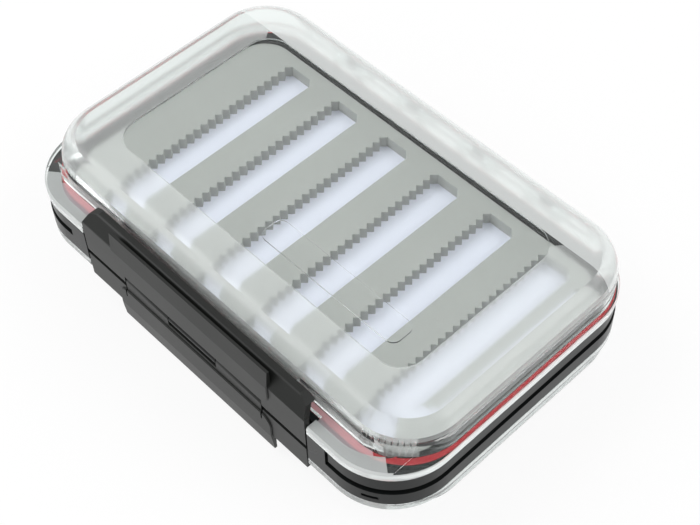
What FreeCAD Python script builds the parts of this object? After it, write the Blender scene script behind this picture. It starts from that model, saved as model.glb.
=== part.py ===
import FreeCAD, Part
import Sketcher
import os

Vector = FreeCAD.Vector

# The document and its sheet of driving dimensions, in millimetres.
# The box lies with its latches to the front (-Y) and its hinges to the back (+Y).
# Heights are measured up and down from the plane between the two halves.

doc = FreeCAD.newDocument("fly_box")
sheet = doc.addObject("Spreadsheet::Sheet", "Sizes")

SIZES = [
    ("lid_length", 183.0, "outside of a lid's wall, left to right"),
    ("lid_width", 110.0, "outside of a lid's wall, front to back"),
    ("lid_corner", 22.0, "corner radius of a lid's wall"),
    ("box_height", 50.0, "from the lower lid's flat to the upper lid's"),
    ("shoulder", 9.0, "radius from a lid's flat to its wall"),
    ("lid_wall", 2.0, "wall of a lid"),
    ("lid_top", 2.2, "flat of a lid"),
    ("side_rim", 1.6, "flange past the wall at each side"),
    ("back_rim", 1.3, "flange past the wall at the back"),
    ("front_ledge", 8.5, "flange past the wall at the front"),
    ("flange_height", 3.6, "height of the flange"),
    ("flange_corner", 24.0, "corner radius of flange and frame"),
    ("rim_bevel", 0.7, "bevel along the flange's top edge"),
    ("ledge_rise", 0.4, "rise of the front ledge over the rest of the flange"),
    ("ledge_reach", 86.0, "half length of the raised front ledge"),
    ("ledge_rim", 4.2, "width of the rim along the front ledge"),
    ("ledge_taper", 7.1, "rim's width where the trough behind it ends"),
    ("ledge_trough", 1.4, "depth of the trough behind the rim"),
    ("overrun", 5.0, "how far a cut runs past what it cuts"),
    ("window_side", 21.5, "from a lid's wall to the window sunk in its flat, at the sides"),
    ("window_front", 18.3, "the same at front and back"),
    ("window_corner", 9.5, "corner radius of the window"),
    ("window_depth", 0.7, "depth of the window"),
    ("strip_length", 62.0, "raised bare strip in the window"),
    ("strip_width", 10.2, "strip, front to back"),
    ("strip_corner", 3.2, "corner radius of the strip"),
    ("strip_rise", 0.5, "height of the strip over the window"),
    ("strip_side", 10.0, "from the strip to the window's right edge"),
    ("strip_front", 6.8, "from the strip to the window's front edge"),
    ("catch_start", 44.5, "start of each catch ridge, from the box's middle"),
    ("catch_end", 80.0, "end of each catch ridge"),
    ("catch_slope", 6.0, "run-out of a catch ridge into the corner"),
    ("catch_depth", 1.5, "catch ridge past the lid's wall"),
    ("catch_height", 3.3, "height of a catch ridge"),
    ("catch_drop", 7.7, "from the lid's flat to the ridge's top"),
    ("frame_height", 14.0, "height of the centre frame"),
    ("seal_gap", 0.35, "gap between frame and lid, held by the gasket"),
    ("web", 1.0, "floor between the two sides of the frame"),
    ("bay_side", 6.5, "from a lid's wall to the foam bay in the frame, at the sides"),
    ("bay_front", 6.0, "the same at the front"),
    ("bay_back", 8.3, "the same at the back"),
    ("bay_corner", 12.0, "corner radius of the foam bay"),
    ("groove_height", 2.0, "groove round the frame's side"),
    ("groove_depth", 1.8, "depth of that groove"),
    ("groove_stop", 8.0, "plain block between latch bay and groove"),
    ("rebate_depth", 0.45, "how far the frame's side steps in above the groove"),
    ("riser_width", 0.9, "slot from the groove's end up to the frame's top"),
    ("notch_side", 8.6, "from the frame's right side to the small slot in its front corner"),
    ("notch_length", 6.5, "length of that slot"),
    ("notch_drop", 4.0, "its middle, below the frame's middle"),
    ("notch_height", 1.4, "height of that slot"),
    ("notch_reach", 4.5, "its floor, behind the frame's front"),
    ("gasket_width", 2.3, "width of a gasket"),
    ("gasket_height", 1.7, "height of a gasket"),
    ("gasket_rise", 0.05, "gasket standing out of its groove"),
    ("gasket_fit", 0.1, "room beside the gasket in its groove"),
    ("gasket_inset", 0.9, "gasket's middle inside the lid's wall, sides and back"),
    ("gasket_outset", 0.5, "gasket's middle outside the lid's wall, front"),
    ("gasket_cover", 0.05, "flange past the gasket behind a latch"),
    ("gasket_corner", 21.0, "corner radius along the gasket's middle"),
    ("sheet_thickness", 1.0, "white backing sheet"),
    ("foam_thickness", 4.8, "grey slit foam"),
    ("foam_fit", 0.3, "room round the foam in its bay"),
    ("slot_width", 13.9, "slot, from tooth root to straight edge"),
    ("slot_left_land", 18.45, "foam bay's left end to the first slot"),
    ("slot_right_land", 11.65, "last slot to the bay's right end"),
    ("slot_front_land", 3.6, "slots to the bay's front"),
    ("slot_back_land", 5.1, "slots to the bay's back"),
    ("slot_bevel", 2.6, "cut corner at the ends of the straight edge"),
    ("tooth_pitch", 3.45, "saw teeth along a slot"),
    ("tooth_depth", 1.7, "depth of a tooth"),
    ("latch_length", 110.6, "length of a latch"),
    ("latch_side_gap", 0.7, "gap at each end of a latch"),
    ("latch_plate", 2.2, "plate of a latch, and radius of its knuckles"),
    ("latch_edge", 2.6, "plate's edge above the latch pin"),
    ("latch_face", 14.2, "top of the latch's upright face, above the pin"),
    ("bevel_run", 3.8, "slope above that face, inwards"),
    ("bevel_rise", 5.0, "slope above that face, upwards"),
    ("land_thickness", 1.8, "flat top of the latch"),
    ("land_inset", 1.1, "inner corner of the slope, behind the outer one"),
    ("knee_drop", 0.4, "inner corner of the face, below the outer one"),
    ("hook_gap", 1.95, "from the lid's wall to the latch's top edge"),
    ("knee_round", 1.2, "rounding between a latch's face, slope and top"),
    ("hook_round", 0.5, "rounding of the top edge over the lid"),
    ("tab_bevel", 0.35, "soft edge round the finger tab"),
    ("latch_corner", 5.5, "rounded top corners of a latch"),
    ("tab_length", 77.6, "raised finger tab of a latch"),
    ("tab_proud", 0.6, "tab past the latch's face"),
    ("tab_thickness", 1.8, "thickness of the tab's lip"),
    ("tab_bottom", 4.2, "tab's lower edge above the pin"),
    ("tab_top", 22.2, "tab's lip above the pin"),
    ("tab_corner", 5.0, "rounded lower corners of the tab"),
    ("tab_lean", 0.8, "lip leaning in at its top"),
    ("latch_wall_gap", 0.2, "between the knuckles and the frame behind them"),
    ("knuckle_gap", 0.35, "between one knuckle and the next"),
    ("frame_knuckle", 23.6, "frame's knuckle in the middle of the latch pin"),
    ("lower_knuckle", 22.0, "each knuckle of the lower latch"),
    ("relief_width", 0.6, "relief slit beside the lower latch's knuckles"),
    ("relief_length", 5.0, "length of that slit"),
    ("pin_radius", 1.0, "latch pin and hinge pins"),
    ("pin_fit", 0.05, "room round a pin in its bore"),
    ("pin_hold", 3.2, "latch pin inside the frame at each end"),
    ("hinge_out", 3.3, "hinge axis behind the frame's back"),
    ("hinge_rise", 0.15, "hinge axis past the frame's face"),
    ("ear_radius", 2.9, "ears of the lid's hinges"),
    ("ear_width", 5.0, "width of an ear"),
    ("ear_spread", 11.6, "from ear to ear in a pair"),
    ("pair_pitch", 31.8, "from pair to pair"),
    ("hinge_knuckle_radius", 2.7, "frame's knuckle between two ears"),
    ("ear_gap", 0.35, "between an ear and the knuckle"),
    ("pin_short", 0.4, "hinge pin's end inside the ear's face"),
]

SLOT_COUNT = 6
HINGE_COUNT = 4
HEX_SHARE = 2 / 3 ** 0.5


def number(term):
    return term.value if isinstance(term, Size) else term


def formula(term):
    return term.text if isinstance(term, Size) else repr(float(term))


class Size:
    """A length: its number, and the formula on the sheet that it comes from."""

    def __init__(self, value, text):
        self.value = value
        self.text = text

    def __add__(self, other):
        return Size(self.value + number(other), f"({self.text} + {formula(other)})")

    def __radd__(self, other):
        return self + other

    def __sub__(self, other):
        return Size(self.value - number(other), f"({self.text} - {formula(other)})")

    def __rsub__(self, other):
        return -self + other

    def __mul__(self, other):
        return Size(self.value * number(other), f"({self.text} * {formula(other)})")

    def __truediv__(self, other):
        return Size(self.value / number(other), f"({self.text} / {formula(other)})")

    def __neg__(self):
        return Size(-self.value, f"(0 - {self.text})")


named = {}
for row, (alias, value, note) in enumerate(SIZES, start=1):
    sheet.set(f"A{row}", alias)
    sheet.set(f"B{row}", str(value))
    sheet.set(f"C{row}", note)
    sheet.setAlias(f"B{row}", alias)
    named[alias] = Size(value, f"Sizes.{alias}")
doc.recompute()


class Lengths:
    """The named sizes as attributes, so that a sum reads like one."""

    def __init__(self, table):
        self.__dict__.update(table)


s = Lengths(named)
ZERO = Size(0.0, "0")


# Sketches, and the features made from them

def new_body(label):
    body = doc.addObject("PartDesign::Body", label)
    body.Label = label
    return body


def sketch_on(body, role, offset):
    """An empty sketch on one of the body's own planes, moved along its normal."""
    plane = next(f for f in body.Origin.OriginFeatures if f.Role == role)
    sketch = body.newObject("Sketcher::SketchObject", "Sketch")
    sketch.AttachmentSupport = [(plane, "")]
    sketch.MapMode = "FlatFace"
    sketch.AttachmentOffset = FreeCAD.Placement(Vector(0, 0, number(offset)), FreeCAD.Rotation())
    sketch.setExpression("AttachmentOffset.Base.z", formula(offset))
    return sketch


def fix(sketch, kind, index, end, size):
    """Hold a point of the sketch at a distance from the sketch's origin."""
    place = sketch.addConstraint(Sketcher.Constraint(kind, -1, 1, index, end, number(size)))
    sketch.setExpression(f"Constraints[{place}]", formula(size))


def add_polygon(sketch, points):
    """A closed outline of straight lines, each corner held by its two sizes."""
    first = sketch.GeometryCount
    count = len(points)
    for i, (x, y) in enumerate(points):
        after = points[(i + 1) % count]
        start = Vector(number(x), number(y), 0)
        end = Vector(number(after[0]), number(after[1]), 0)
        sketch.addGeometry(Part.LineSegment(start, end))
    for i, (x, y) in enumerate(points):
        before = first + (i - 1) % count
        sketch.addConstraint(Sketcher.Constraint("Coincident", before, 2, first + i, 1))
        fix(sketch, "DistanceX", first + i, 1, x)
        fix(sketch, "DistanceY", first + i, 1, y)


def add_rectangle(sketch, x0, x1, y0, y1):
    add_polygon(sketch, [(x0, y0), (x1, y0), (x1, y1), (x0, y1)])


def add_rounded(sketch, x0, x1, y0, y1, radius):
    """A rectangle with four tangent corner arcs of one radius."""
    left, right, low, high, r = [number(v) for v in (x0, x1, y0, y1, radius)]
    corners = [
        (Vector(left + r, low, 0), Vector(right - r, low, 0), Vector(right - r, low + r, 0), -90),
        (Vector(right, low + r, 0), Vector(right, high - r, 0), Vector(right - r, high - r, 0), 0),
        (Vector(right - r, high, 0), Vector(left + r, high, 0), Vector(left + r, high - r, 0), 90),
        (Vector(left, high - r, 0), Vector(left, low + r, 0), Vector(left + r, low + r, 0), 180),
    ]
    first = sketch.GeometryCount
    up = Vector(0, 0, 1)
    for start, end, centre, angle in corners:
        turn = FreeCAD.Units.Quantity(f"{angle} deg").getValueAs("rad").Value
        quarter = FreeCAD.Units.Quantity("90 deg").getValueAs("rad").Value
        sketch.addGeometry(Part.LineSegment(start, end))
        circle = Part.Circle(centre, up, r)
        sketch.addGeometry(Part.ArcOfCircle(circle, turn, turn + quarter))
    for side in range(4):
        line = first + 2 * side
        arc = line + 1
        after = first + (2 * side + 2) % 8
        sketch.addConstraint(Sketcher.Constraint("Tangent", line, 2, arc, 1))
        sketch.addConstraint(Sketcher.Constraint("Tangent", arc, 2, after, 1))
        sketch.addConstraint(Sketcher.Constraint(("Horizontal", "Vertical")[side % 2], line))
        if side:
            sketch.addConstraint(Sketcher.Constraint("Equal", first + 1, arc))
    place = sketch.addConstraint(Sketcher.Constraint("Radius", first + 1, r))
    sketch.setExpression(f"Constraints[{place}]", formula(radius))
    fix(sketch, "DistanceY", first, 1, y0)
    fix(sketch, "DistanceX", first + 2, 1, x1)
    fix(sketch, "DistanceY", first + 4, 1, y1)
    fix(sketch, "DistanceX", first + 6, 1, x0)


def add_circle(sketch, x, y, radius):
    centre = Vector(number(x), number(y), 0)
    index = sketch.addGeometry(Part.Circle(centre, Vector(0, 0, 1), number(radius)))
    place = sketch.addConstraint(Sketcher.Constraint("Radius", index, number(radius)))
    sketch.setExpression(f"Constraints[{place}]", formula(radius))
    fix(sketch, "DistanceX", index, 3, x)
    fix(sketch, "DistanceY", index, 3, y)


def add_hexagon(sketch, x, y, flat):
    """Six flats at one distance from a centre, the first of them upright."""
    side = flat * HEX_SHARE
    add_polygon(sketch, [
        (x + flat, y - side / 2),
        (x + flat, y + side / 2),
        (x, y + side),
        (x - flat, y + side / 2),
        (x - flat, y - side / 2),
        (x, y - side),
    ])


def pad(body, sketch, length):
    """Add the sketch's outline along its plane's normal."""
    feature = body.newObject("PartDesign::Pad", "Pad")
    feature.Profile = sketch
    feature.Length = number(length)
    feature.setExpression("Length", formula(length))
    doc.recompute()
    return feature


def pocket(body, sketch, length):
    """Cut the sketch's outline against its plane's normal."""
    before = body.Shape.Volume
    feature = body.newObject("PartDesign::Pocket", "Pocket")
    feature.Profile = sketch
    feature.Length = number(length)
    feature.setExpression("Length", formula(length))
    doc.recompute()
    if body.Shape.Volume >= before:
        raise RuntimeError(f"{body.Label}: a pocket cut nothing")
    return feature


def soften(body, feature, places, size, kind):
    """Fillet or chamfer these edges or faces of a feature."""
    rounding = body.newObject("PartDesign::" + kind, kind)
    rounding.Base = (feature, places)
    name = "Radius" if kind == "Fillet" else "Size"
    setattr(rounding, name, number(size))
    rounding.setExpression(name, formula(size))
    doc.recompute()
    return rounding


def round_off(body, feature, height, size, kind):
    """Fillet or chamfer every edge of the level face of a feature that lies at one height."""
    faces = [
        f"Face{i}"
        for i, face in enumerate(feature.Shape.Faces, start=1)
        if abs(face.BoundBox.ZMin - number(height)) < FLAT and face.BoundBox.ZLength < FLAT
    ]
    return soften(body, feature, faces, size, kind)


def round_front(body, feature, depth, size):
    """Chamfer every edge of the upright face of a feature that looks to the front at this depth."""
    faces = [
        f"Face{i}"
        for i, face in enumerate(feature.Shape.Faces, start=1)
        if abs(face.BoundBox.YMin - number(depth)) < FLAT and face.BoundBox.YLength < FLAT
    ]
    return soften(body, feature, faces, size, "Chamfer")


def round_lines(body, feature, lines, size):
    """Fillet the edges that run along the box at these places of the cross-section."""
    edges = [
        f"Edge{i}"
        for i, edge in enumerate(feature.Shape.Edges, start=1)
        for y, z in lines
        if abs(edge.CenterOfMass.y - number(y)) < FLAT and abs(edge.CenterOfMass.z - number(z)) < FLAT
    ]
    return soften(body, feature, edges, size, "Fillet")


FLAT = 1e-4


# Places that several pieces share

half_length = s.lid_length / 2
half_width = s.lid_width / 2
half_height = s.box_height / 2
frame_top = s.frame_height / 2
lid_foot = frame_top + s.seal_gap
flange_top = lid_foot + s.flange_height
frame_side = half_length + s.side_rim
frame_back = half_width + s.back_rim
frame_front = -(half_width + s.front_ledge)
pin_front = frame_front + s.latch_plate
latch_bay = s.latch_length / 2 + s.latch_side_gap
latch_wall = pin_front + s.latch_plate + s.latch_wall_gap
lid_front = -(half_width + s.gasket_outset + s.gasket_width / 2 + s.gasket_cover)
hinge_back = frame_back + s.hinge_out
hinge_span = s.pair_pitch * (HINGE_COUNT - 1) + s.ear_spread + s.ear_width
hinge_high = frame_top + s.hinge_rise
bore_radius = s.pin_radius + s.pin_fit
bay_half = half_length - s.bay_side
bay_low = -half_width + s.bay_front
bay_high = half_width - s.bay_back
back_reach = hinge_back + s.ear_radius
front_reach = -(frame_front - s.tab_proud)
centre_shift = (front_reach - back_reach) / 2


def place(item, turned):
    """Stand the piece on the ground plane; a turned piece is the same one upside down."""
    turn = FreeCAD.Rotation(Vector(0, 1, 0), 180 if turned else 0)
    item.Placement = FreeCAD.Placement(Vector(0, number(centre_shift), number(half_height)), turn)
    item.setExpression("Placement.Base.y", formula(centre_shift))
    item.setExpression("Placement.Base.z", formula(half_height))


def pair_middles():
    """Left-to-right places of the hinge pairs, spread evenly about the middle."""
    return [s.pair_pitch * (i - (HINGE_COUNT - 1) / 2) for i in range(HINGE_COUNT)]


# Lids. Both are one moulding: a deep tray with a flange that carries the hinge ears.
# Inside, a flat bevel follows the outer shoulder at this share of the inner radius.

bevel_share = 0.6

def make_lid(label, turned):
    body = new_body(label)

    flange = sketch_on(body, "XY_Plane", lid_foot)
    add_rounded(flange, -frame_side, frame_side, frame_front, frame_back, s.flange_corner)
    rim = pad(body, flange, s.flange_height)
    round_off(body, rim, flange_top, s.rim_bevel, "Chamfer")

    lower = sketch_on(body, "XY_Plane", flange_top)
    far = frame_side + s.overrun
    add_polygon(lower, [
        (-far, frame_front - s.overrun),
        (-s.ledge_reach, frame_front - s.overrun),
        (-s.ledge_reach, ZERO),
        (s.ledge_reach, ZERO),
        (s.ledge_reach, frame_front - s.overrun),
        (far, frame_front - s.overrun),
        (far, frame_back + s.overrun),
        (-far, frame_back + s.overrun),
    ])
    pocket(body, lower, s.ledge_rise)

    trough = sketch_on(body, "XY_Plane", flange_top)
    trough_side = frame_side - s.ledge_taper
    trough_corner = s.flange_corner - s.ledge_rim
    add_rounded(trough, -trough_side, trough_side, frame_front + s.ledge_rim, ZERO, trough_corner)
    pocket(body, trough, s.ledge_trough)

    crown = sketch_on(body, "XY_Plane", lid_foot)
    add_rounded(crown, -half_length, half_length, -half_width, half_width, s.lid_corner)
    dome = pad(body, crown, half_height - lid_foot)
    round_off(body, dome, half_height, s.shoulder, "Fillet")

    for side in (-1, 1):
        ridge = sketch_on(body, "XY_Plane", half_height - s.catch_drop - s.catch_height)
        start = s.catch_start * side
        end = s.catch_end * side
        add_polygon(ridge, [
            (start, -half_width + s.lid_wall / 2),
            (start, -half_width - s.catch_depth),
            (end - s.catch_slope * side, -half_width - s.catch_depth),
            (end, -half_width + s.lid_wall / 2),
        ])
        pad(body, ridge, s.catch_height)

    hollow = new_body(label + "_hollow")
    cavity = sketch_on(hollow, "XY_Plane", lid_foot - s.flange_height)
    inner_x = half_length - s.lid_wall
    inner_y = half_width - s.lid_wall
    add_rounded(cavity, -inner_x, inner_x, -inner_y, inner_y, s.lid_corner - s.lid_wall)
    core = pad(hollow, cavity, half_height - s.lid_top - lid_foot + s.flange_height)
    inner_bevel = (s.shoulder - s.lid_wall) * bevel_share
    round_off(hollow, core, half_height - s.lid_top, inner_bevel, "Chamfer")
    cut = body.newObject("PartDesign::Boolean", "Boolean")
    cut.Type = "Cut"
    cut.addObject(hollow)
    doc.recompute()

    window = sketch_on(body, "XY_Plane", half_height)
    along = half_length - s.window_side
    across = half_width - s.window_front
    add_rounded(window, -along, along, -across, across, s.window_corner)
    pocket(body, window, s.window_depth)

    strip = sketch_on(body, "XY_Plane", half_height - s.lid_top / 2)
    strip_right = along - s.strip_side
    strip_low = -across + s.strip_front
    strip_high = strip_low + s.strip_width
    strip_left = strip_right - s.strip_length
    add_rounded(strip, strip_left, strip_right, strip_low, strip_high, s.strip_corner)
    pad(body, strip, s.lid_top / 2 - s.window_depth + s.strip_rise)

    bay = sketch_on(body, "XY_Plane", half_height)
    add_rectangle(bay, -latch_bay, latch_bay, frame_front - s.overrun, lid_front)
    pocket(body, bay, s.box_height)

    ear_top = hinge_high + s.ear_radius
    outer_start = -hinge_span / 2
    ears = sketch_on(body, "YZ_Plane", outer_start)
    add_circle(ears, hinge_back, hinge_high, s.ear_radius)
    pad(body, ears, hinge_span)
    arms = sketch_on(body, "YZ_Plane", outer_start)
    add_rectangle(arms, half_width - s.lid_wall / 2, hinge_back, lid_foot, ear_top)
    pad(body, arms, hinge_span)
    gaps = sketch_on(body, "XY_Plane", half_height)
    for middle in pair_middles():
        near = (s.ear_spread - s.ear_width) / 2
        add_rectangle(gaps, middle - near, middle + near, frame_back, back_reach + s.ear_gap)
    for before, after in zip(pair_middles(), pair_middles()[1:]):
        far = (s.ear_spread + s.ear_width) / 2
        add_rectangle(gaps, before + far, after - far, frame_back, back_reach + s.ear_gap)
    pocket(body, gaps, s.box_height)

    # The ears grip the round pins in six-sided holes.
    grip = sketch_on(body, "YZ_Plane", half_length)
    add_hexagon(grip, hinge_back, hinge_high, bore_radius)
    pocket(body, grip, s.lid_length)

    place(body, turned)
    return body


# Centre frame. A ring with a floor half way up, bays for the foam on both sides,
# grooves for the gaskets and knuckles for the latch pin and the lid hinges.

def gasket_loops(sketch, width):
    """Inner and outer outline of a ring of this width along the gasket's middle."""
    side = half_length - s.gasket_inset
    back = half_width - s.gasket_inset
    front = -(half_width + s.gasket_outset)
    for sign in (-1, 1):
        grow = width / 2 * sign
        add_rounded(sketch, -side - grow, side + grow, front - grow, back + grow,
                    s.gasket_corner + grow)


stem_share = 0.7


def make_frame():
    body = new_body("centre_frame")

    ring = sketch_on(body, "XY_Plane", -frame_top)
    add_rounded(ring, -frame_side, frame_side, frame_front, frame_back, s.flange_corner)
    pad(body, ring, s.frame_height)

    bay_depth = frame_top - s.web / 2
    for level in (frame_top, -s.web / 2):
        bay = sketch_on(body, "XY_Plane", level)
        add_rounded(bay, -bay_half, bay_half, bay_low, bay_high, s.bay_corner)
        pocket(body, bay, bay_depth)

    seat_depth = s.gasket_height - s.gasket_rise
    for level in (frame_top, -frame_top + seat_depth):
        seat = sketch_on(body, "XY_Plane", level)
        gasket_loops(seat, s.gasket_width + s.gasket_fit * 2)
        pocket(body, seat, seat_depth)

    groove = sketch_on(body, "XY_Plane", s.groove_height / 2)
    deep = s.groove_depth
    add_rounded(groove, -frame_side - deep, frame_side + deep, frame_front - deep,
                frame_back + deep, s.flange_corner + deep)
    add_rounded(groove, -frame_side + deep, frame_side - deep, frame_front + deep,
                frame_back - deep, s.flange_corner - deep)
    pocket(body, groove, s.groove_height)

    for side in (-1, 1):
        block = sketch_on(body, "XY_Plane", -s.groove_height / 2)
        start = latch_bay * side
        end = (latch_bay + s.groove_stop) * side
        add_polygon(block, [
            (start, frame_front),
            (end, frame_front),
            (end, frame_front + deep * 2),
            (start, frame_front + deep * 2),
        ])
        pad(body, block, s.groove_height)

    rebate = sketch_on(body, "XY_Plane", frame_top)
    step_in = s.rebate_depth
    riser_start = latch_bay + s.groove_stop
    add_rounded(rebate, -frame_side - deep, frame_side + deep, frame_front - deep,
                frame_back + deep, s.flange_corner + deep)
    add_rounded(rebate, -frame_side + step_in, frame_side - step_in, frame_front + step_in,
                frame_back - step_in, s.flange_corner - step_in)
    pocket(body, rebate, frame_top - s.groove_height / 2)
    plain = sketch_on(body, "XY_Plane", s.groove_height / 2)
    add_rectangle(plain, -riser_start, riser_start, frame_front, frame_front + step_in * 2)
    pad(body, plain, frame_top - s.groove_height / 2)

    riser = sketch_on(body, "XY_Plane", frame_top)
    for start, end in ((-riser_start - s.riser_width, -riser_start),
                       (riser_start, riser_start + s.riser_width)):
        add_rectangle(riser, start, end, frame_front - deep, frame_front + deep * 2)
    pocket(body, riser, frame_top)

    notch = sketch_on(body, "XZ_Plane", -frame_front + deep)
    notch_low = -s.notch_drop - s.notch_height / 2
    notch_high = -s.notch_drop + s.notch_height / 2
    notch_end = frame_side - s.notch_side
    add_rectangle(notch, notch_end - s.notch_length, notch_end, notch_low, notch_high)
    pocket(body, notch, deep + s.notch_reach)

    recess = sketch_on(body, "XY_Plane", frame_top)
    add_rectangle(recess, -latch_bay, latch_bay, frame_front - deep, latch_wall)
    pocket(body, recess, s.frame_height)

    knuckle = sketch_on(body, "YZ_Plane", -s.frame_knuckle / 2)
    add_circle(knuckle, pin_front, ZERO, s.latch_plate)
    pad(body, knuckle, s.frame_knuckle)
    stem = sketch_on(body, "YZ_Plane", -s.frame_knuckle / 2)
    stem_half = s.latch_plate * stem_share
    add_rectangle(stem, pin_front, latch_wall + s.gasket_fit, -stem_half, stem_half)
    pad(body, stem, s.frame_knuckle)

    pin_end = latch_bay + s.pin_hold
    bore = sketch_on(body, "YZ_Plane", pin_end)
    add_circle(bore, pin_front, ZERO, bore_radius)
    pocket(body, bore, pin_end * 2)

    width = s.ear_spread - s.ear_width - s.ear_gap * 2
    span = s.pair_pitch * (HINGE_COUNT - 1) + width
    arm_low = hinge_high - s.hinge_knuckle_radius
    for sign in (-1, 1):
        lugs = sketch_on(body, "YZ_Plane", -span / 2)
        add_circle(lugs, hinge_back, hinge_high * sign, s.hinge_knuckle_radius)
        pad(body, lugs, span)
        arms = sketch_on(body, "YZ_Plane", -span / 2)
        low, high = (arm_low, frame_top) if sign > 0 else (-frame_top, -arm_low)
        add_rectangle(arms, frame_back - s.back_rim / 2, hinge_back, low, high)
        pad(body, arms, span)
    gaps = sketch_on(body, "XY_Plane", half_height)
    for before, after in zip(pair_middles(), pair_middles()[1:]):
        start = before + width / 2
        add_rectangle(gaps, start, after - width / 2, frame_back, back_reach)
    pocket(body, gaps, s.box_height)
    for sign in (-1, 1):
        bore = sketch_on(body, "YZ_Plane", half_length)
        add_circle(bore, hinge_back, hinge_high * sign, bore_radius)
        pocket(body, bore, s.lid_length)

    place(body, False)
    return body


# Gaskets: a silicone ring in each of the frame's two grooves.

def make_gasket(label, turned):
    body = new_body(label)
    ring = sketch_on(body, "XY_Plane", frame_top + s.gasket_rise - s.gasket_height)
    gasket_loops(ring, s.gasket_width)
    pad(body, ring, s.gasket_height)
    place(body, turned)
    return body


# Foam liners: a white sheet on the frame's floor and the grey slit foam on it.

foam_half = bay_half - s.foam_fit
foam_low = bay_low + s.foam_fit
foam_high = bay_high - s.foam_fit
foam_corner = s.bay_corner - s.foam_fit
sheet_top = s.web / 2 + s.sheet_thickness


def make_backing(label, turned):
    body = new_body(label)
    outline = sketch_on(body, "XY_Plane", s.web / 2)
    add_rounded(outline, -foam_half, foam_half, foam_low, foam_high, foam_corner)
    pad(body, outline, s.sheet_thickness)
    place(body, turned)
    return body


def slot_wire(right, height):
    """One slot: saw teeth up its left side, cut corners beside its straight right side."""
    left = right - s.slot_width.value
    low = bay_low.value + s.slot_front_land.value
    high = bay_high.value - s.slot_back_land.value
    pitch = s.tooth_pitch.value
    depth = s.tooth_depth.value
    bevel = s.slot_bevel.value
    count = int((high - low) / pitch)
    margin = (high - low - count * pitch) / 2
    points = [(left + depth, high)]
    for i in range(count):
        top = high - margin - i * pitch
        points.append((left + depth, top))
        points.append((left, top - pitch / 2))
    points.append((left + depth, low + margin))
    points.append((left + depth, low))
    points.append((right - bevel, low))
    points.append((right, low + bevel))
    points.append((right, high - bevel))
    points.append((right - bevel, high))
    points.append(points[0])
    clean = [p for p, q in zip(points, points[1:]) if abs(p[0] - q[0]) + abs(p[1] - q[1]) > FLAT]
    return Part.makePolygon([Vector(x, y, height) for x, y in clean + [clean[0]]])


def rounded_wire(x0, x1, y0, y1, radius, height):
    """A flat rectangle with rounded corners, as one wire."""
    block = Part.makeBox(x1 - x0, y1 - y0, radius, Vector(x0, y0, height))
    upright = [e for e in block.Edges if abs(e.BoundBox.ZLength - radius) < FLAT]
    rounded = block.makeFillet(radius, upright)
    floor = min(rounded.Faces, key=lambda face: face.CenterOfMass.z)
    return floor.OuterWire


def make_slit_foam(label, turned):
    """The saw-toothed slots come from a formula, so this shape is set from the sheet's values."""
    height = sheet_top.value
    edge = rounded_wire(-foam_half.value, foam_half.value, foam_low.value, foam_high.value,
                        foam_corner.value, height)
    wires = [edge]
    first = -bay_half.value + s.slot_left_land.value + s.slot_width.value
    last = bay_half.value - s.slot_right_land.value
    for i in range(SLOT_COUNT):
        right = first + (last - first) * i / (SLOT_COUNT - 1)
        wires.append(slot_wire(right, height))
    face = Part.Face(wires[0])
    for hole in wires[1:]:
        face = face.cut(Part.Face(hole))
    item = doc.addObject("Part::Feature", label)
    item.Label = label
    item.Shape = face.Faces[0].extrude(Vector(0, 0, s.foam_thickness.value))
    place(item, turned)
    return item


# Latches. Both have one profile: an upright plate, a slope and a flat top edge over the lid,
# with a finger tab in the middle. They turn on one pin, so their knuckles take turns along it.

outer_start = s.frame_knuckle / 2 + s.knuckle_gap + s.lower_knuckle + s.knuckle_gap


corner_share = 0.3


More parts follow.
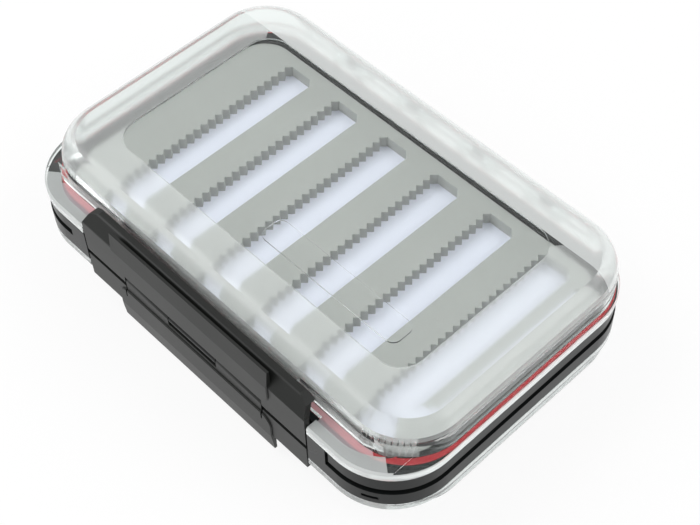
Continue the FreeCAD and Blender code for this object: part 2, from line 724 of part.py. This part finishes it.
def make_latch(label, zones, slits, turned):
    body = new_body(label)
    half = s.latch_length / 2
    face_high = s.latch_face
    land_high = s.latch_face + s.bevel_rise
    land_low = land_high - s.land_thickness
    slope_y = frame_front + s.bevel_run
    hook_y = -half_width - s.hook_gap

    plate = sketch_on(body, "YZ_Plane", -half)
    add_polygon(plate, [
        (frame_front, s.latch_edge),
        (frame_front, face_high),
        (slope_y, land_high),
        (hook_y, land_high),
        (hook_y, land_low),
        (slope_y + s.land_inset, land_low),
        (pin_front, face_high - s.knee_drop),
        (pin_front, s.latch_edge),
    ])
    bar = pad(body, plate, s.latch_length)
    bar = round_lines(body, bar, [(frame_front, face_high), (slope_y, land_high)], s.knee_round)
    round_lines(body, bar, [(hook_y, land_high)], s.hook_round)

    for side in (-1, 1):
        corner = sketch_on(body, "XZ_Plane", -frame_front + s.latch_plate)
        r = s.latch_corner
        edge = half * side
        cut = r * corner_share
        add_polygon(corner, [
            (edge, land_high - r),
            (edge - cut * side, land_high - cut),
            (edge - r * side, land_high),
            (edge - r * side, land_high + r),
            (edge + r * side, land_high + r),
            (edge + r * side, land_high - r),
        ])
        pocket(body, corner, s.front_ledge + s.latch_plate)

    for start, end in zones:
        knuckle = sketch_on(body, "YZ_Plane", start)
        add_circle(knuckle, pin_front, ZERO, s.latch_plate)
        pad(body, knuckle, end - start)
        root = sketch_on(body, "YZ_Plane", start)
        add_rectangle(root, frame_front, pin_front, ZERO, s.latch_edge + s.land_thickness)
        pad(body, root, end - start)

    tab_half = s.tab_length / 2
    tab = sketch_on(body, "XZ_Plane", -frame_front - s.tab_thickness + s.tab_proud)
    tab_over = s.tab_top + s.tab_corner
    add_rounded(tab, -tab_half, tab_half, s.tab_bottom, tab_over, s.tab_corner)
    raised = pad(body, tab, s.tab_thickness)
    round_front(body, raised, frame_front - s.tab_proud, s.tab_bevel)
    lean = sketch_on(body, "YZ_Plane", tab_half)
    tab_front = frame_front - s.tab_proud
    add_polygon(lean, [
        (tab_front, face_high),
        (tab_front + s.tab_lean, s.tab_top),
        (tab_front + s.tab_thickness + s.tab_lean, s.tab_top),
        (tab_front + s.tab_thickness + s.tab_lean, tab_over + s.overrun),
        (tab_front - s.tab_lean, tab_over + s.overrun),
        (tab_front - s.tab_lean, face_high),
    ])
    pocket(body, lean, s.tab_length)

    for middle in slits:
        slit = sketch_on(body, "XZ_Plane", -frame_front + s.latch_plate)
        wide = s.relief_width / 2
        add_rectangle(slit, middle - wide, middle + wide, -s.latch_edge,
                      s.latch_edge + s.relief_length)
        pocket(body, slit, s.latch_plate + s.tab_proud + s.overrun)

    bore = sketch_on(body, "YZ_Plane", half)
    add_circle(bore, pin_front, ZERO, bore_radius)
    pocket(body, bore, s.latch_length)

    place(body, turned)
    return body


# Pins: one steel rod through the latches, and a short one through each hinge pair.

def make_pin(label, start, length, y, z):
    pin = doc.addObject("Part::Cylinder", label)
    pin.Label = label
    pin.setExpression("Radius", s.pin_radius.text)
    pin.setExpression("Height", length.text)
    turn = FreeCAD.Rotation(Vector(0, 1, 0), 90)
    spot = (start, y + centre_shift, z + half_height)
    pin.Placement = FreeCAD.Placement(Vector(*[number(v) for v in spot]), turn)
    for axis, size in zip("xyz", spot):
        pin.setExpression(f"Placement.Base.{axis}", size.text)
    return pin


pieces = [
    make_frame(),
    make_lid("upper_lid", False),
    make_lid("lower_lid", True),
    make_gasket("upper_gasket", False),
    make_gasket("lower_gasket", True),
    make_backing("upper_foam_backing", False),
    make_backing("lower_foam_backing", True),
    make_slit_foam("upper_slit_foam", False),
    make_slit_foam("lower_slit_foam", True),
]

latch_half = s.latch_length / 2
inner_start = s.frame_knuckle / 2 + s.knuckle_gap
inner_end = inner_start + s.lower_knuckle
slit_middle = inner_end + s.relief_width / 2
upper_zones = [(-latch_half, -outer_start), (outer_start, latch_half)]
lower_zones = [(-inner_end, -inner_start), (inner_start, inner_end)]
pieces.append(make_latch("upper_latch", upper_zones, [], False))
pieces.append(make_latch("lower_latch", lower_zones, [-slit_middle, slit_middle], True))

pin_end = latch_bay + s.pin_hold - s.pin_fit
pieces.append(make_pin("latch_pin", -pin_end, pin_end * 2, pin_front, ZERO))
pair_width = s.ear_spread + s.ear_width
hinge_pin = pair_width - s.pin_short * 2
for level, sign in (("upper", 1), ("lower", -1)):
    for i, middle in enumerate(pair_middles(), start=1):
        start = middle - hinge_pin / 2
        label = f"{level}_hinge_pin_{i}"
        pieces.append(make_pin(label, start, hinge_pin, hinge_back, hinge_high * sign))

doc.recompute()

for item in doc.Objects:
    if "Invalid" in item.State or "Error" in item.State:
        raise RuntimeError(f"{item.Label}: {item.State}")
for item in pieces:
    if item.Shape.isNull() or not item.Shape.isValid():
        raise RuntimeError(f"{item.Label}: shape is not valid")

os.makedirs("parts", exist_ok=True)
for item in pieces:
    item.Shape.exportStep(f"parts/{item.Label}.step")
    box = item.Shape.BoundBox
    print(f"{item.Label}: {len(item.Shape.Solids)} solid, {item.Shape.Volume:.0f} mm3, "
          f"x {box.XMin:.2f}..{box.XMax:.2f} y {box.YMin:.2f}..{box.YMax:.2f} "
          f"z {box.ZMin:.2f}..{box.ZMax:.2f}")
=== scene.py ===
import math

import bmesh
import bpy
from mathutils import Matrix, Vector


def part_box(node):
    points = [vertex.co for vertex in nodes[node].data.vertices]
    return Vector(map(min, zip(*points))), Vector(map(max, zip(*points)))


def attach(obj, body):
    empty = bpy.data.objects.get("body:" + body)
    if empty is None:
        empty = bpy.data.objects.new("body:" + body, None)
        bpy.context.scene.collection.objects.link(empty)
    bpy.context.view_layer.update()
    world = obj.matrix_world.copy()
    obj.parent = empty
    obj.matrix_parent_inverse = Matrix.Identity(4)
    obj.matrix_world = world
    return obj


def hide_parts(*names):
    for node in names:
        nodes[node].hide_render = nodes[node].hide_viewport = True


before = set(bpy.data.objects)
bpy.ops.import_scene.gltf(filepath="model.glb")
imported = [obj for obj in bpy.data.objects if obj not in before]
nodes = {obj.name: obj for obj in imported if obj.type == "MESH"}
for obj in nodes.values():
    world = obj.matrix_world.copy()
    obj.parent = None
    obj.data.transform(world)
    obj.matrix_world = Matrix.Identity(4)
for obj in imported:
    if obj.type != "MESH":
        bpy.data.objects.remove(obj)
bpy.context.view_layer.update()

# Centre frame
# A black injection-moulded ring that the two lids close on, satin all over,
# with a very fine moulded grain.

GRAIN_SCALE = 900.0
GRAIN_HEIGHT = 0.0001
UNEVEN_SCALE = 35.0


def grain_group():
    """Fine moulded grain: an uneven roughness and a bump, at a given scale."""
    group = bpy.data.node_groups.new("moulded_grain", "ShaderNodeTree")
    sockets = group.interface
    for name, value in (("Scale", GRAIN_SCALE), ("Roughness", 0.4), ("Spread", 0.08), ("Depth", 0.02)):
        socket = sockets.new_socket(name, in_out="INPUT", socket_type="NodeSocketFloat")
        socket.default_value = value
    sockets.new_socket("Roughness", in_out="OUTPUT", socket_type="NodeSocketFloat")
    sockets.new_socket("Normal", in_out="OUTPUT", socket_type="NodeSocketVector")
    make, link = group.nodes.new, group.links.new
    given, result = make("NodeGroupInput"), make("NodeGroupOutput")
    place = make("ShaderNodeTexCoord")
    fine, wide = make("ShaderNodeTexNoise"), make("ShaderNodeTexNoise")
    wide.inputs["Scale"].default_value = UNEVEN_SCALE
    fine.inputs["Detail"].default_value = 3.0
    span, lift = make("ShaderNodeMath"), make("ShaderNodeMath")
    span.operation = "MULTIPLY"
    lift.operation = "ADD"
    bump = make("ShaderNodeBump")
    bump.inputs["Distance"].default_value = GRAIN_HEIGHT
    link(place.outputs["Object"], fine.inputs["Vector"])
    link(place.outputs["Object"], wide.inputs["Vector"])
    link(given.outputs["Scale"], fine.inputs["Scale"])
    link(wide.outputs["Fac"], span.inputs[0])
    link(given.outputs["Spread"], span.inputs[1])
    link(span.outputs["Value"], lift.inputs[0])
    link(given.outputs["Roughness"], lift.inputs[1])
    link(fine.outputs["Fac"], bump.inputs["Height"])
    link(given.outputs["Depth"], bump.inputs["Strength"])
    link(lift.outputs["Value"], result.inputs["Roughness"])
    link(bump.outputs["Normal"], result.inputs["Normal"])
    return group


moulded_grain = grain_group()


def moulded(name, colour, roughness, spread, depth, scale=GRAIN_SCALE):
    """A moulded plastic or rubber with the grain above."""
    material = bpy.data.materials.new(name)
    material.use_nodes = True
    tree = material.node_tree
    shader = tree.nodes["Principled BSDF"]
    shader.inputs["Base Color"].default_value = (*colour, 1.0)
    grain = tree.nodes.new("ShaderNodeGroup")
    grain.node_tree = moulded_grain
    grain.inputs["Scale"].default_value = scale
    grain.inputs["Roughness"].default_value = roughness
    grain.inputs["Spread"].default_value = spread
    grain.inputs["Depth"].default_value = depth
    tree.links.new(grain.outputs["Roughness"], shader.inputs["Roughness"])
    tree.links.new(grain.outputs["Normal"], shader.inputs["Normal"])
    return material


def set_plain(material, socket, value):
    """A value that is the same all over, on the shader's own socket."""
    material.node_tree.nodes["Principled BSDF"].inputs[socket].default_value = value


def finish_with(material, *names):
    """One material all over each of these CAD pieces."""
    for name in names:
        piece = nodes[name]
        piece.data.materials.clear()
        piece.data.materials.append(material)


black_frame = moulded("black_frame_plastic", colour=(0.008, 0.009, 0.009),
                      roughness=0.24, spread=0.08, depth=0.10)
set_plain(black_frame, "Specular IOR Level", 0.15)
finish_with(black_frame, "centre_frame")

# Gaskets
# A red silicone ring in the frame's groove under each lid. It is slightly
# translucent, so light spreads inside it.

red_silicone = moulded("red_silicone", colour=(0.42, 0.012, 0.02),
                       roughness=0.34, spread=0.06, depth=0.05)
set_plain(red_silicone, "Subsurface Weight", 0.15)
set_plain(red_silicone, "Subsurface Scale", 0.002)
finish_with(red_silicone, "upper_gasket", "lower_gasket")

# Foam liners
# A white sheet lies on the frame's floor on each side, and the grey slit foam
# is glued on it. The foam is die-cut: six slots with saw teeth on their left.

white_sheet = moulded("white_backing_sheet", colour=(0.82, 0.83, 0.95),
                      roughness=0.45, spread=0.05, depth=0.02)
finish_with(white_sheet, "upper_foam_backing", "lower_foam_backing")
grey_foam = moulded("grey_cell_foam", colour=(0.375, 0.380, 0.365),
                    roughness=0.80, spread=0.1, depth=0.35, scale=1600.0)

BOX_HEIGHT = 0.05
FOAM_CORNER, CORNER_STEPS = 0.0117, 8
SLOTS = 6
FIRST_SLOT, SLOT_PITCH, SLOT_WIDTH = -0.05265, 0.0252, 0.0139
SLOT_LOW, SLOT_HIGH, SLOT_CORNER = -0.0446, 0.0424, 0.0026
TOOTH_PITCH, TOOTH_DEPTH, TEETH = 0.00345, 0.0017, 25
CUT_EDGE = 0.0002
SAME_PLACE = 0.000001


def only(kind, parts):
    """The vertices, edges or faces among what an operator gave back."""
    return [part for part in parts if isinstance(part, kind)]


def flat_plate(shape, low, high):
    """A one-face plate between two corners, and its vertices."""
    middle = ((low[0] + high[0]) / 2, (low[1] + high[1]) / 2, 0)
    plate = bmesh.ops.create_grid(shape, x_segments=1, y_segments=1, size=0.5)["verts"]
    bmesh.ops.scale(shape, verts=plate, vec=(high[0] - low[0], high[1] - low[1], 1))
    bmesh.ops.translate(shape, verts=plate, vec=middle)
    return plate


def cut_corners(shape, corners, size, segments):
    """Flat corners with one segment, and round ones with more."""
    bmesh.ops.bevel(shape, geom=corners, offset=size, offset_type="OFFSET", affect="VERTICES",
                    segments=segments, profile=0.5, material=-1)


def slot_outline(shape, right):
    """One slot: cut corners on its right, and its left edge swapped for a row of teeth."""
    left = right - SLOT_WIDTH
    plate = flat_plate(shape, (left, SLOT_LOW), (right, SLOT_HIGH))
    cut_corners(shape, [v for v in plate if v.co.x > right - SLOT_CORNER], SLOT_CORNER, 1)
    left_edge = [e for e in shape.edges if all(abs(v.co.x - left) < SAME_PLACE for v in e.verts)]
    ends = sorted(left_edge[0].verts, key=lambda v: -v.co.y)
    bmesh.ops.translate(shape, verts=ends, vec=(TOOTH_DEPTH, 0, 0))
    bmesh.ops.delete(shape, geom=left_edge, context="EDGES_FACES")

    margin = (SLOT_HIGH - SLOT_LOW - TEETH * TOOTH_PITCH) / 2
    corners = ((TOOTH_DEPTH, 0), (0, TOOTH_PITCH / 2), (TOOTH_DEPTH, TOOTH_PITCH))
    tooth = [shape.verts.new((left + across, SLOT_HIGH - margin - along, 0))
             for across, along in corners]
    sides = [shape.edges.new(pair) for pair in zip(tooth, tooth[1:])]
    row = bmesh.ops.spin(shape, geom=tooth + sides, cent=(0, 0, 0), axis=(0, 0, 1), angle=0,
                         dvec=(0, -TOOTH_PITCH, 0), steps=TEETH - 1, use_duplicate=True)
    last = min(only(bmesh.types.BMVert, row["geom_last"]), key=lambda v: v.co.y)
    shape.edges.new((ends[0], tooth[0]))
    shape.edges.new((last, ends[1]))


def finished_piece(name, shape, *materials):
    """The modelled shape as an object of its own, with its materials."""
    mesh = bpy.data.meshes.new(name)
    shape.to_mesh(mesh)
    shape.free()
    for material in materials:
        mesh.materials.append(material)
    piece = bpy.data.objects.new(name, mesh)
    bpy.context.scene.collection.objects.link(piece)
    return piece


def slit_foam(name, side):
    """A die-cut foam slab in the bay on one side of the frame."""
    node = f"{side}_slit_foam"
    low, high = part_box(node)
    if side == "lower":
        low.z, high.z = BOX_HEIGHT - high.z, BOX_HEIGHT - low.z
    shape = bmesh.new()
    cut_corners(shape, flat_plate(shape, low, high), FOAM_CORNER, CORNER_STEPS)
    bmesh.ops.delete(shape, geom=shape.faces[:], context="FACES_ONLY")
    for number in range(SLOTS):
        slot_outline(shape, FIRST_SLOT + number * SLOT_PITCH)
    bmesh.ops.remove_doubles(shape, verts=shape.verts, dist=SAME_PLACE)
    sheet = bmesh.ops.triangle_fill(shape, use_beauty=True, use_dissolve=False,
                                    edges=shape.edges[:])["geom"]
    slab = bmesh.ops.extrude_face_region(shape, geom=only(bmesh.types.BMFace, sheet))["geom"]
    bmesh.ops.translate(shape, verts=only(bmesh.types.BMVert, slab), vec=(0, 0, high.z - low.z))
    bmesh.ops.translate(shape, verts=shape.verts, vec=(0, 0, low.z))
    bmesh.ops.recalc_face_normals(shape, faces=shape.faces)

    # The die leaves a small soft edge round the top and the slots.
    cut_edges = [e for e in shape.edges if len(e.link_faces) == 2 and e.calc_face_angle() > 1
                 and min(v.co.z for v in e.verts) > high.z - SAME_PLACE]
    bmesh.ops.bevel(shape, geom=cut_edges, offset=CUT_EDGE, offset_type="OFFSET", affect="EDGES",
                    segments=2, profile=0.5, material=-1)
    if side == "lower":
        bmesh.ops.rotate(shape, verts=shape.verts, cent=(0, 0, BOX_HEIGHT / 2),
                         matrix=Matrix.Rotation(math.pi, 3, "Y"))
    piece = finished_piece(name, shape, grey_foam)
    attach(piece, "centre_frame")
    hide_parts(node)


slit_foam("upper_foam_liner", "upper")
slit_foam("lower_foam_liner", "lower")

# Lids
# Clear polycarbonate trays. The window and most walls are polished, the front
# wall and the flat round the window are frosted. The milk-white on the back of the flat is painted
# glow of light from behind shining through it. The milk-white on the upper rim and the ledge, with
# pink in the ledge's trough, is painted highlight where they catch the lamps.

LID_TINT = (0.90, 0.935, 0.925)
SHADOW_CLEARNESS = 0.9


def clear_plastic(name, roughness, spread, clearness):
    """Clear moulded plastic that lets light in, and scatters it white from as much of it as isn't
    clear.
    """
    material = moulded(name, LID_TINT, roughness, spread, depth=0.0, scale=400.0)
    set_plain(material, "Transmission Weight", clearness)
    set_plain(material, "IOR", 1.45)
    tree = material.node_tree
    rays = tree.nodes.new("ShaderNodeLightPath")
    ease, rest = tree.nodes.new("ShaderNodeMath"), tree.nodes.new("ShaderNodeMath")
    ease.operation = "MULTIPLY"
    ease.inputs[1].default_value = SHADOW_CLEARNESS
    rest.operation = "SUBTRACT"
    rest.inputs[0].default_value = 1.0
    tree.links.new(rays.outputs["Is Shadow Ray"], ease.inputs[0])
    tree.links.new(ease.outputs["Value"], rest.inputs[1])
    tree.links.new(rest.outputs["Value"], tree.nodes["Principled BSDF"].inputs["Alpha"])
    return material


polished = clear_plastic("polished_lid_plastic", roughness=0.02, spread=0.01, clearness=1.0)
frosted = clear_plastic("frosted_lid_plastic", roughness=0.20, spread=0.04, clearness=0.77)
# Painted light: milk-white that stands in for light from behind glowing through the back of the flat,
# and for the highlight on the upper rim.
painted_light_white = clear_plastic("painted_light_white_plastic", roughness=0.20, spread=0.04, clearness=0.46)
# Painted highlight: the ledge's milk-white top and its pink-tinted milk-white trough stand in for the
# lamps' light caught by the ledge.
ledge_painted_highlight = clear_plastic("white_ledge_painted_highlight_plastic", roughness=0.20, spread=0.04, clearness=0.62)
pink_painted_highlight = clear_plastic("pink_ledge_painted_highlight_plastic", roughness=0.22, spread=0.04, clearness=0.68)
set_plain(pink_painted_highlight, "Base Color", (0.94, 0.82, 0.86, 1.0))
lid_finishes = (polished, frosted, painted_light_white, ledge_painted_highlight, pink_painted_highlight)

# Places on the lid are given from the box's middle, and levels from its middle height.
WINDOW_X, WINDOW_Y, WINDOW_SHIFT = 0.0700, 0.0367, 0.0008
WINDOW_BACK = WINDOW_Y + WINDOW_SHIFT
FLANGE_X, FLANGE_Y, FLANGE_SHIFT, FLANGE_CORNER = 0.0931, 0.0599, -0.0028, 0.024
RIM_WIDTH, EAR_GAP = 0.0010, 0.0003
LEDGE_BACK, LEDGE_REACH, FRONT_WALL = -0.0541, 0.0862, -0.045
TROUGH_LEVEL, FLANGE_LEVEL, SHOULDER_LEVEL = 0.0103, 0.0115, 0.0185

# How squarely a face looks away from the box's middle: 1 for a flat top, 0 for a wall.
SHOULDER_FACING, LEDGE_FACING, FLAT_FACING = 0.1, 0.9, 0.95

CAD_SEAM = 0.000002
HARD_EDGE = math.radians(28)


def depth_in_flange(x, y):
    """How far a place is inside the outline of the lid's flange."""
    across = max(abs(x) - FLANGE_X + FLANGE_CORNER, 0.0)
    along = max(abs(y - FLANGE_SHIFT) - FLANGE_Y + FLANGE_CORNER, 0.0)
    return FLANGE_CORNER - math.hypot(across, along)


def level_and_facing(face):
    """A face's level, and how squarely it looks away from the box's middle."""
    height = face.calc_center_median().z - BOX_HEIGHT / 2
    return abs(height), math.copysign(1, height) * face.normal.z


def lid_finish(face):
    """The finish of one face of a lid, by where it is."""
    middle = face.calc_center_median()
    level, outward = level_and_facing(face)
    if level < FLANGE_LEVEL:
        inset = depth_in_flange(middle.x, middle.y)
        if inset < RIM_WIDTH and abs(outward) < FLAT_FACING:
            # Only the upper lid's rim gets the milk-white painted highlight; the lower rim faces away
            # from the lamps.
            on_lit_upper_rim = inset > -EAR_GAP and middle.z > BOX_HEIGHT / 2
            return painted_light_white if on_lit_upper_rim else frosted
        # The ledge gets the painted highlight finishes: milk-white on its top, pink-tinted in its
        # trough.
        on_ledge = middle.y < LEDGE_BACK and abs(middle.x) < LEDGE_REACH
        if on_ledge and outward > LEDGE_FACING:
            return pink_painted_highlight if level < TROUGH_LEVEL else ledge_painted_highlight
        return polished
    if abs(outward) < SHOULDER_FACING and middle.y < FRONT_WALL:
        return frosted
    in_window = abs(middle.x) < WINDOW_X and abs(middle.y - WINDOW_SHIFT) < WINDOW_Y
    if in_window or outward < SHOULDER_FACING or level < SHOULDER_LEVEL:
        return polished
    # The back of the flat gets the milk-white painted glow of light from behind.
    return painted_light_white if middle.y > WINDOW_BACK else frosted


def cut_finish_lines(shape):
    """Straight edges where the back's painted glow and the ledge's painted highlight, at its two ends,
    meet other finishes.
    """
    for place, across, lowest, highest in (
            ((0, WINDOW_BACK, 0), (0, 1, 0), SHOULDER_LEVEL, BOX_HEIGHT),
            ((-LEDGE_REACH, 0, 0), (1, 0, 0), 0, FLANGE_LEVEL),
            ((LEDGE_REACH, 0, 0), (1, 0, 0), 0, FLANGE_LEVEL)):
        skin = []
        for face in shape.faces:
            level, outward = level_and_facing(face)
            if lowest < level < highest and outward > SHOULDER_FACING:
                skin += [face, *face.edges, *face.verts]
        bmesh.ops.bisect_plane(shape, geom=list(dict.fromkeys(skin)), dist=SAME_PLACE,
                               plane_co=place, plane_no=across)


def lid_shell(name, node):
    """The lid's own moulding, closed up so that each face has its finish."""
    shape = bmesh.new()
    shape.from_mesh(nodes[node].data)
    bmesh.ops.remove_doubles(shape, verts=shape.verts, dist=CAD_SEAM)
    cut_finish_lines(shape)
    for face in shape.faces:
        face.smooth = True
        face.material_index = lid_finishes.index(lid_finish(face))
    for edge in shape.edges:
        edge.smooth = len(edge.link_faces) == 2 and edge.calc_face_angle() < HARD_EDGE
    piece = finished_piece(name, shape, *lid_finishes)
    weighted = piece.modifiers.new("flat_faces", "WEIGHTED_NORMAL")
    weighted.keep_sharp = True
    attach(piece, node)
    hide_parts(node)


lid_shell("upper_lid_shell", "upper_lid")
lid_shell("lower_lid_shell", "lower_lid")

# Latches
# One black moulding each, with a finger tab. The satin face is a little
# lighter than the frame, and every edge has the mould's small radius.

EDGE_RADIUS = 0.00025
EDGE_ANGLE = math.radians(25)

latch_plastic = moulded("black_latch_plastic", colour=(0.012, 0.013, 0.012),
                        roughness=0.36, spread=0.08, depth=0.12)
set_plain(latch_plastic, "Specular IOR Level", 0.24)
finish_with(latch_plastic, "upper_latch", "lower_latch")
for name in ("upper_latch", "lower_latch"):
    weld = nodes[name].modifiers.new("weld", "WELD")
    weld.merge_threshold = CAD_SEAM
    edge = nodes[name].modifiers.new("edge_radius", "BEVEL")
    edge.width = EDGE_RADIUS
    edge.segments = 2
    edge.limit_method = "ANGLE"
    edge.angle_limit = EDGE_ANGLE
    edge.harden_normals = True

# Pins
# Bright steel rods. One long pin carries both latches on the frame's front,
# and a short one turns in each pair of hinge ears at the back.

pin_steel = moulded("pin_steel", colour=(0.62, 0.62, 0.60),
                    roughness=0.22, spread=0.08, depth=0.04, scale=300.0)
set_plain(pin_steel, "Metallic", 1.0)
finish_with(pin_steel, "latch_pin")
for side in ("upper", "lower"):
    for number in range(1, 5):
        finish_with(pin_steel, f"{side}_hinge_pin_{number}")

# Floor, lights and camera
# A white sweep under and behind the box, soft lamps high over it, and the
# camera above the front right corner, looking down at the lid.

FLOOR_RADIUS, FLOOR_GAP = 3.0, 0.00005
FLOOR_GLOW = 0.88
SKY_SEEN, SKY_ON_MATT = 1.0, 0.62

floor_paint = bpy.data.materials.new("studio_floor")
floor_paint.use_nodes = True
set_plain(floor_paint, "Base Color", (0.9, 0.9, 0.9, 1.0))
set_plain(floor_paint, "Roughness", 0.9)
tree = floor_paint.node_tree
make, link = tree.nodes.new, tree.links.new
rays, glow, mix = make("ShaderNodeLightPath"), make("ShaderNodeEmission"), make("ShaderNodeMixShader")
glow.inputs["Strength"].default_value = 1.0
seen, share = make("ShaderNodeMath"), make("ShaderNodeMath")
seen.operation = "SUBTRACT"
seen.use_clamp = True
seen.inputs[0].default_value = 1.0
share.operation = "MULTIPLY"
share.inputs[1].default_value = FLOOR_GLOW
link(rays.outputs["Diffuse Depth"], seen.inputs[1])
link(seen.outputs["Value"], share.inputs[0])
link(share.outputs["Value"], mix.inputs["Fac"])
link(tree.nodes["Principled BSDF"].outputs["BSDF"], mix.inputs[1])
link(glow.outputs["Emission"], mix.inputs[2])
link(mix.outputs["Shader"], tree.nodes["Material Output"].inputs["Surface"])

shape = bmesh.new()
bmesh.ops.create_circle(shape, cap_ends=True, segments=64, radius=FLOOR_RADIUS)
bmesh.ops.translate(shape, verts=shape.verts, vec=(0, 0, -FLOOR_GAP))
finished_piece("studio_floor", shape, floor_paint)

world = bpy.data.worlds.new("studio")
bpy.context.scene.world = world
world.use_nodes = True
make, link = world.node_tree.nodes.new, world.node_tree.links.new
sky = world.node_tree.nodes["Background"]
sky.inputs["Color"].default_value = (1.0, 1.0, 1.0, 1.0)
rays, white = make("ShaderNodeLightPath"), make("ShaderNodeMapRange")
white.inputs["To Min"].default_value = SKY_SEEN
white.inputs["To Max"].default_value = SKY_ON_MATT
link(rays.outputs["Diffuse Depth"], white.inputs["Value"])
link(white.outputs["Result"], sky.inputs["Strength"])


def lamp(name, place, target, size, power):
    """A rectangular soft lamp, turned to its target."""
    data = bpy.data.lights.new(name, "AREA")
    data.shape = "RECTANGLE"
    data.size, data.size_y = size
    data.energy = power
    light = bpy.data.objects.new(name, data)
    light.location = place
    aim = Vector(target) - Vector(place)
    light.rotation_mode = "QUATERNION"
    light.rotation_quaternion = aim.to_track_quat("-Z", "Y")
    bpy.context.scene.collection.objects.link(light)


lamp("key_softbox", place=(-1.1, -0.7, 1.2), target=(0, 0, 0), size=(1.2, 1.2), power=15.0)
lamp("fill_softbox", place=(1.1, 0.7, 1.1), target=(0, 0, 0), size=(1.0, 1.0), power=10.0)
lamp("front_softbox", place=(0.3, -1.3, 0.7), target=(0, 0, 0.02), size=(1.2, 0.6), power=2.0)

CAMERA_PLACE = (0.23742, -0.20893, 0.41763)
turn, rise, roll = math.radians(47.43), math.radians(52.22), math.radians(-1.81)

camera_data = bpy.data.cameras.new("camera")
camera_data.sensor_width = 36.0
camera_data.lens = 74.85
camera_data.clip_start = 0.01
camera = bpy.data.objects.new("camera", camera_data)
bpy.context.scene.collection.objects.link(camera)
back = Vector((math.sin(turn) * math.cos(rise), -math.cos(turn) * math.cos(rise), math.sin(rise)))
level = Vector((0, 0, 1)).cross(back).normalized()
over = back.cross(level)
right = math.cos(roll) * level + math.sin(roll) * over
up = math.cos(roll) * over - math.sin(roll) * level
facing = Matrix((right, up, back)).transposed().to_4x4()
camera.matrix_world = Matrix.Translation(CAMERA_PLACE) @ facing
bpy.context.scene.camera = camera
bpy.context.scene.view_settings.view_transform = "Standard"
